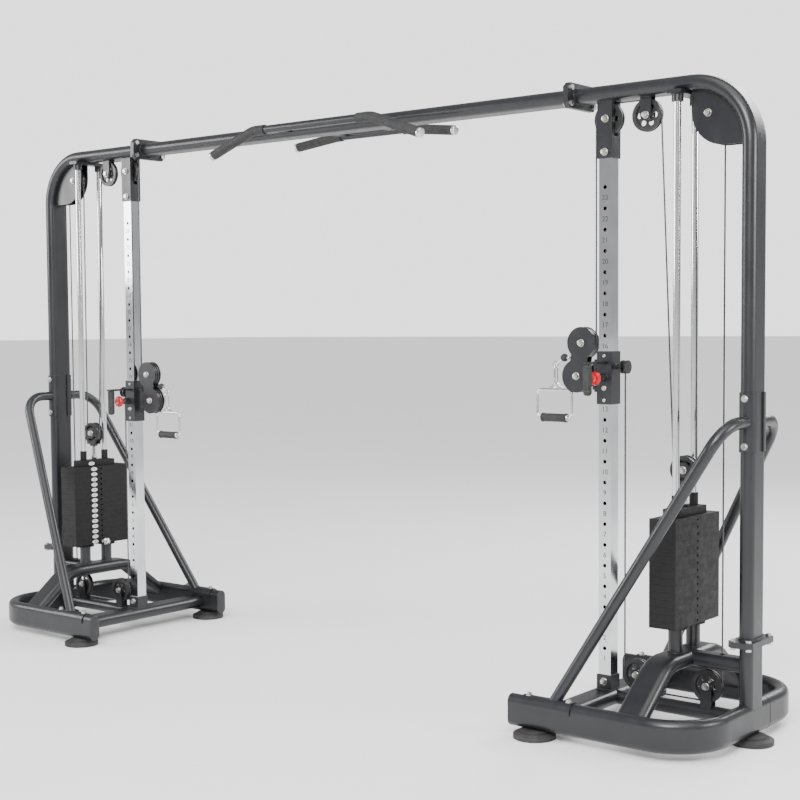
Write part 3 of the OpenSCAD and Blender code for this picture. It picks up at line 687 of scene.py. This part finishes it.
def add_frame_welds(side, s):
    """Welds where the tubes meet their joining plates."""
    flat = oval_ring(TUBE_W, TUBE_T)
    for tag, z in (("lower", FLANGE_Z - FLANGE_T), ("upper", FLANGE_Z + FLANGE_T)):
        bead("weld_flange_%s_%s" % (tag, side), [Vector((s * POST_X + q, p, z)) for p, q in flat], "frame")
    for tag, x in (("inner", FLANGE_X - FLANGE_T), ("outer", FLANGE_X + FLANGE_T)):
        bead("weld_top_flange_%s_%s" % (tag, side), [Vector((s * x, p, TOP_Z + q)) for p, q in flat], "frame")
    for tag, d in ENDS.items():
        riser = [Vector((x, y, ARCH_TOP)) for x, y in circle(s * STACK_X, d * ROD_Y, 0.026, 40)]
        bead("weld_riser_%s_%s" % (tag, side), riser, "frame")
        collar = [Vector((x, y, ROD_TOP)) for x, y in circle(s * STACK_X, d * ROD_Y, 0.0205, 40)]
        bead("weld_rod_collar_%s_%s" % (tag, side), collar, "frame", 0.0024)
    for part, z in (("socket", SOCKET_Z), ("bracket", TOP_UNDER)):
        ring = [Vector((s * UPRIGHT_X + p, q, z)) for p, q in square(SOCKET_HALF)]
        bead("weld_%s_%s" % (part, side), ring, "frame")
    for tag in ("inner", "outer"):
        x, _ = hub("base_%s_pulley" % tag, side)
        for edge, d in ENDS.items():
            short_weld("weld_ear_%s_%s_%s" % (tag, edge, side), s, x, d * EAR_Y, EAR_FOOT_Z, 0.0026)
    x, _ = hub("hanging_pulley", side)
    for edge, d in ENDS.items():
        short_weld("weld_hanger_%s_%s" % (edge, side), s, x, d * EAR_Y, TOP_UNDER, 0.0026)
    # Seam where the two halves of the base bend are butt welded
    seam = [Vector((s * (POST_X + q), SEAM_Y, BASE_Z + p)) for p, q in flat]
    bead("weld_base_seam_" + side, seam, "frame", 0.0011)


# Outlines (radius, height) of the cap nuts on the frame's axles and on the housings' axles
FRAME_CAP = [
    (0.0135, 0.0), (0.0135, 0.0012), (0.0128, 0.0018), (0.0108, 0.0018),
    (0.0108, 0.0088), (0.0098, 0.0104), (0.0060, 0.0112), (0.0018, 0.0113),
]
HOUSING_CAP = [
    (0.0140, 0.0), (0.0140, 0.0013), (0.0132, 0.0020), (0.0112, 0.0020),
    (0.0110, 0.0086), (0.0100, 0.0102), (0.0062, 0.0110), (0.0016, 0.0112),
]


def cap_nuts(bm, s, axle, half, profile):
    """Cap nuts on both ends of an axle at (x, z), half its length from the middle plane."""
    x, z = axle
    for d in (-1, 1):
        lathe(bm, (s * x, d * half, z), (0, d, 0), profile, 36)


def turned(name, spots, axis, profile, sides, material, body, sharp=35):
    """One piece made of equal turned solids, one at each spot."""
    bm = bmesh.new()
    for spot in spots:
        lathe(bm, spot, axis, profile, sides)
    piece(name, bm, material, body, sharp)


def add_frame_detail(side, s):
    for tag, d in ENDS.items():
        end_cap("arm_end_cap_%s_%s" % (tag, side), s, d * ARM_Y)
    add_frame_welds(side, s)
    # Each axle and half of its length, the last two being the upright's bracket and socket bolts
    axles = [
        (hub("base_inner_pulley", side), EAR_Y),
        (hub("base_outer_pulley", side), EAR_Y),
        (hub("hanging_pulley", side), EAR_Y),
        (hub("outer_pulley", side), 0.0215),
        (hub("top_pulley", side), SOCKET_HALF),
        ((UPRIGHT_X, 2.027), SOCKET_HALF),
        ((UPRIGHT_X, 0.134), SOCKET_HALF),
    ]
    bm = bmesh.new()
    for axle, half in axles:
        cap_nuts(bm, s, axle, half, FRAME_CAP)
    piece("axle_caps_" + side, bm, M["zinc_bolt"], "frame")
    # Numbers halfway between the adjustment holes
    marks = []
    for n in range(1, HOLE_COUNT + 1):
        z = FIRST_HOLE_Z + HOLE_PITCH * (n - 1) - HOLE_PITCH / 2
        marks.append((str(n), Vector((s * UPRIGHT_X, NUMBER_Y, z))))
    upright = Matrix.Rotation(math.radians(90), 4, "X")
    lettering("upright_numbers_" + side, marks, 0.026, upright, "frame")


def add_bearings(side, s):
    """Sealed ball bearings showing on both faces of each pulley's hub."""
    profile = [
        (0.0155, -0.0006), (0.0155, 0.0006), (0.0150, 0.0009), (0.0136, 0.0009), (0.0133, 0.0004),
        (0.0098, 0.0004), (0.0095, 0.0009), (0.0082, 0.0009), (0.0078, 0.0004),
    ]
    pulley_half = 0.0100
    for name in PULLEYS:
        x, z = hub(name, side)
        bm = bmesh.new()
        for d in (-1, 1):
            lathe(bm, (s * x, d * pulley_half, z), (0, d, 0), profile, 40)
        piece("bearing_%s_%s" % (name, side), bm, SEAL, name + "_" + side)


# Pull-up bars: each bar's corner, its end, and how far out its strut stands
BARS = {
    "front": ((0.320, -0.165, 2.229), (0.565, -0.165, 2.143), 0.225),
    "rear": ((0.200, 0.224, 2.229), (0.436, 0.224, 2.203), 0.140),
}


def add_bar_detail():
    """Polished plugs on the ends of the pull-up bars, and welds along their struts."""
    plug = [
        (0.0150, -0.0126), (0.0192, -0.0126), (0.0196, -0.0118), (0.0196, -0.0016),
        (0.0188, 0.0006), (0.0160, 0.0016), (0.0090, 0.0022), (0.0010, 0.0023),
    ]
    for tag, (corner, end, strut) in BARS.items():
        for side, s in SIDES.items():
            c = Vector((corner[0] * s, corner[1], corner[2]))
            e = Vector((end[0] * s, end[1], end[2]))
            turned("bar_plug_%s_%s" % (tag, side), [e], (e - c).normalized(), plug, 48,
                   M["plated_steel"], "frame", 30)
            tube_y = math.copysign(0.0562, corner[1])
            bar_y = corner[1] - math.copysign(0.0150, corner[1])
            short_weld("weld_strut_%s_%s" % (tag, side), s, strut, tube_y, 2.2332, 0.0028)
            short_weld("weld_bar_%s_%s" % (tag, side), s, strut, bar_y, 2.2338, 0.0028)


# ---------------------------------------------------------------- carriage, stack and handle detail

def add_sleeve_detail(side, s):
    """Screws, liner lips and welds of the carriage's sleeve."""
    z = CARRIAGE_Z[side]
    body = "carriage_" + side
    screw = [
        (0.0062, 0.0), (0.0062, 0.0022), (0.0050, 0.0032),
        (0.0034, 0.0034), (0.0032, 0.0016), (0.0004, 0.0016),
    ]
    bm = bmesh.new()
    for up in (0.078, -0.080):
        lathe(bm, (s * UPRIGHT_X, SLEEVE_Y, z + up), (0, -1, 0), screw, 28)
    hex_head(bm, (s * UPRIGHT_X, SLEEVE_Y, z - 0.037), (0, -1, 0), 0.013, 0.0060, 0.018)
    piece("sleeve_screws_" + side, bm, M["zinc_bolt"], body, 30)
    # Nylon liner lips showing at both ends of the sleeve
    outer = square(0.0305)
    inner = square(0.0260)
    bm = bmesh.new()
    for end in (-1, 1):
        foot = z + end * SLEEVE_HALF
        rings = [
            [Vector((s * UPRIGHT_X + p, q, foot + end * up)) for p, q in shape]
            for shape, up in ((inner, 0.0), (outer, 0.0), (outer, 0.0016), (inner, 0.0026))
        ]
        skin(bm, rings, closed=True)
    piece("sleeve_liner_" + side, bm, CAP, body, 30)
    collar = [Vector((x, -0.0308, h)) for x, h in circle(s * UPRIGHT_X, z, 0.0152, 36)]
    bead("weld_collar_" + side, collar, body, 0.0022)
    neck = [Vector((s * 1.3115, y, h)) for y, h in circle(0, z + 0.039, 0.0092, 30)]
    bead("weld_neck_" + side, neck, body, 0.0020)


def add_carriage_detail(side, s):
    z = CARRIAGE_Z[side]
    add_sleeve_detail(side, s)
    # Spindle of the pop pin, bright between collar and knob
    turned("pop_pin_spindle_" + side, [(s * UPRIGHT_X, -0.0664, z)], (0, -1, 0),
           [(0.0060, 0.0), (0.00612, 0.0004), (0.00612, 0.0116), (0.0060, 0.0120)], 32,
           M["plated_steel"], "pop_pin_" + side)
    turned("pop_pin_cap_" + side, [(s * UPRIGHT_X, -0.1055, z)], (0, -1, 0),
           [(0.0150, 0.0), (0.0150, 0.0006), (0.0128, 0.0009), (0.0118, 0.0003), (0.0010, 0.0003)], 40,
           M["red_plastic"], "pop_pin_" + side)
    # Swivel: axle caps and the two welds of the barrel
    bm = bmesh.new()
    for pulley in ("swivel_upper_pulley", "swivel_lower_pulley"):
        cap_nuts(bm, s, hub(pulley, side), 0.0185, HOUSING_CAP)
    piece("swivel_axle_caps_" + side, bm, M["zinc_bolt"], "swivel_" + side)
    for tag, d in ENDS.items():
        low = (s * 1.2175, d * 0.0115, z - 0.028)
        high = (s * 1.2175, d * 0.0115, z + 0.042)
        bead("weld_barrel_%s_%s" % (tag, side), straight(low, high, 6), "swivel_" + side, 0.0022, False)
    # Rubber rings at the ends of the carriage grip
    spots = [(s * UPRIGHT_X, GRIP_Y, z + up) for up in (-0.046, 0.036)]
    ring = [
        (0.0120, 0.0), (0.0153, 0.0003), (0.0159, 0.0012),
        (0.0159, 0.0030), (0.0153, 0.0039), (0.0120, 0.0042),
    ]
    turned("carriage_grip_rings_" + side, spots, (0, 0, 1), ring, 44,
           M["rubber"], "carriage_" + side)


def add_labels(side, s):
    """An oval label with its weight on every plate and on the head plate."""
    body = "stack_" + side
    label_y = -0.042
    bm = bmesh.new()
    marks = []
    for i in range(PLATE_COUNT + 1):
        z = PLATE_Z + PLATE_PITCH * i + 0.0123
        front = s * (STACK_X - (PLATE_HALF if i < PLATE_COUNT else HEAD_HALF))
        rings = []
        for grow, out in ((0.0, 0.0), (0.0, 0.0005), (-0.0006, 0.0008), (-0.0090, 0.0009)):
            w = 0.0175 + grow / 2
            t = 0.0090 + grow / 2
            outline = [(label_y + w * math.cos(a), z + t * math.sin(a)) for a in turns(36)]
            rings.append([Vector((front - s * out, y, h)) for y, h in outline])
        skin(bm, rings)
        marks.append((str(5 * (PLATE_COUNT + 1 - i)), Vector((front - s * 0.0011, label_y, z))))
    piece("weight_labels_" + side, bm, LABEL, body, 40)
    inward = Matrix.Rotation(math.radians(-90 * s), 4, "Z") @ Matrix.Rotation(math.radians(90), 4, "X")
    lettering("weight_numbers_" + side, marks, 0.0125, inward, body)


def add_stack_detail(side, s):
    body = "stack_" + side
    add_labels(side, s)
    # Rubber lips on the rod collars
    turned("collar_lips_" + side, [(s * STACK_X, y, COLLAR_TOP) for y in (-ROD_Y, ROD_Y)], (0, 0, 1),
           [(0.0133, 0.0), (0.0150, 0.0), (0.0152, 0.0008), (0.0148, 0.0020), (0.0133, 0.0022)], 40,
           M["rubber"], body)
    bm = bmesh.new()
    for z in (0.797, 0.806):
        hex_head(bm, (s * STACK_X, 0, z), (0, 0, 1), 0.022, 0.0075)
    piece("stem_lock_nuts_" + side, bm, M["zinc_bolt"], body, 30)
    bm = bmesh.new()
    cap_nuts(bm, s, hub("stack_pulley", side), EAR_Y, HOUSING_CAP)
    piece("stack_axle_caps_" + side, bm, M["zinc_bolt"], body)
    # Thread of the stem, a helix of 23 turns
    pitch = 0.0016
    angles = [2 * math.pi * k / 20 for k in range(20 * 23)]
    helix = [
        Vector((s * STACK_X + 0.0072 * math.cos(a), 0.0072 * math.sin(a), 0.814 + pitch * a / (2 * math.pi)))
        for a in angles
    ]
    bm = bmesh.new()
    tube(bm, helix, 0.00045, 6)
    piece("stem_thread_" + side, bm, M["zinc_bolt"], body, 60)


def add_handle_detail(side, s):
    z = CARRIAGE_Z[side]
    body = "cable_end_" + side
    # Swaged ferrule where the cable enters the stop ball
    turned("ball_ferrule_" + side, [(s * FERRULE_X, 0, z + EXIT_UP)], (s, 0, 0),
           [(0.0062, -0.003), (0.0062, 0.004), (0.0056, 0.006), (0.0045, 0.008), (0.0034, 0.0084)], 32,
           M["plated_steel"], body)
    cover = [(0.0146 * math.sin(a), -0.0146 * math.cos(a)) for a in map(math.radians, range(22, 164, 6))]
    ball = (s * BALL_X, 0, z + EXIT_UP)
    turned("ball_cover_" + side, [ball], (s, 0, 0), cover, 44, M["rubber"], body, 60)
    # Hook gate with its hinge pin
    gate_y = -0.0100
    bm = bmesh.new()
    gate = straight((s * HOOK_X, gate_y, z - 0.012), (s * HOOK_X, gate_y, z + 0.026), 6)
    tube(bm, gate, [0.0035] + [0.0038] * 5 + [0.0035], 20)
    hinge = [(0.0016, 0), (0.0020, 0.0006), (0.0020, 0.0078), (0.0016, 0.0084)]
    lathe(bm, (s * HOOK_X - 0.0042, gate_y, z - 0.008), (1, 0, 0), hinge, 20)
    piece("hook_gate_" + side, bm, M["plated_steel"], body)
    # Steel rings between grip and wire
    washer = [(0.0056, 0.0), (0.0120, 0.0), (0.0126, 0.0006), (0.0120, 0.0020), (0.0056, 0.0024)]
    bm = bmesh.new()
    for d in (-1, 1):
        lathe(bm, (s * HANDLE_X + d * 0.0543, 0, z + HANDLE_BAR_UP), (d, 0, 0), washer, 36)
    piece("handle_washers_" + side, bm, M["plated_steel"], "handle_" + side)


# ---------------------------------------------------------------- floor and light

# World light on the object, and the brighter one that the camera sees behind it
AMBIENT = 0.62
BACKDROP = 2.1
# Soft boxes: name, place, aim, width, power in watts
LAMPS = (
    ("key", (3.5, -5.5, 4.5), (0.3, 0, 1.1), 3.0, 520),
    ("fill", (-5.5, -4.0, 3.0), (0, 0, 1.2), 3.5, 280),
    ("back", (1.5, 5.5, 4.5), (0.5, 0, 1.3), 3.5, 320),
    ("side", (6.0, 1.0, 2.5), (1.5, 0, 1.1), 2.0, 150),
)


def add_floor():
    """Plain pale floor, a little below the feet."""
    look = Nodes("studio_floor")
    look.colour(look.ramp(look.noise(1.5, 2), [(0.2, (0.88, 0.88, 0.88)), (0.8, (0.91, 0.91, 0.91))]))
    look.set(rough=0.7)
    bm = bmesh.new()
    bmesh.ops.create_grid(bm, x_segments=2, y_segments=2, size=150)
    data = bpy.data.meshes.new("floor")
    bm.to_mesh(data)
    bm.free()
    data.materials.append(look.mat)
    obj = bpy.data.objects.new("floor", data)
    obj.location.z = -0.0005
    show(obj)


def add_world():
    world = bpy.data.worlds.new("studio")
    world.use_nodes = True
    tree = world.node_tree
    shade = tree.nodes["Background"]
    shade.inputs["Color"].default_value = (1.0, 1.0, 1.0, 1)
    seen = tree.nodes.new("ShaderNodeLightPath")
    level = tree.nodes.new("ShaderNodeMapRange")
    level.inputs["To Min"].default_value = AMBIENT
    level.inputs["To Max"].default_value = BACKDROP
    tree.links.new(seen.outputs["Is Camera Ray"], level.inputs["Value"])
    tree.links.new(level.outputs["Result"], shade.inputs["Strength"])
    bpy.context.scene.world = world


def add_lamps():
    for name, place, aim, width, power in LAMPS:
        lamp = bpy.data.lights.new(name, "AREA")
        lamp.shape = "RECTANGLE"
        lamp.size = width
        lamp.size_y = width * 0.7
        lamp.energy = power
        obj = bpy.data.objects.new(name, lamp)
        obj.location = place
        obj.rotation_euler = (Vector(aim) - Vector(place)).to_track_quat("-Z", "Y").to_euler()
        show(obj)
    wash = bpy.data.lights.new("wash", "SUN")
    wash.energy = 2.3
    wash.angle = math.radians(60)
    obj = bpy.data.objects.new("wash", wash)
    obj.rotation_euler = (math.radians(24), math.radians(16), 0)
    show(obj)


for side, s in SIDES.items():
    add_cables(side, s)
    add_frame_detail(side, s)
    add_bearings(side, s)
    add_carriage_detail(side, s)
    add_stack_detail(side, s)
    add_handle_detail(side, s)
add_bar_detail()
add_floor()
add_world()
add_lamps()
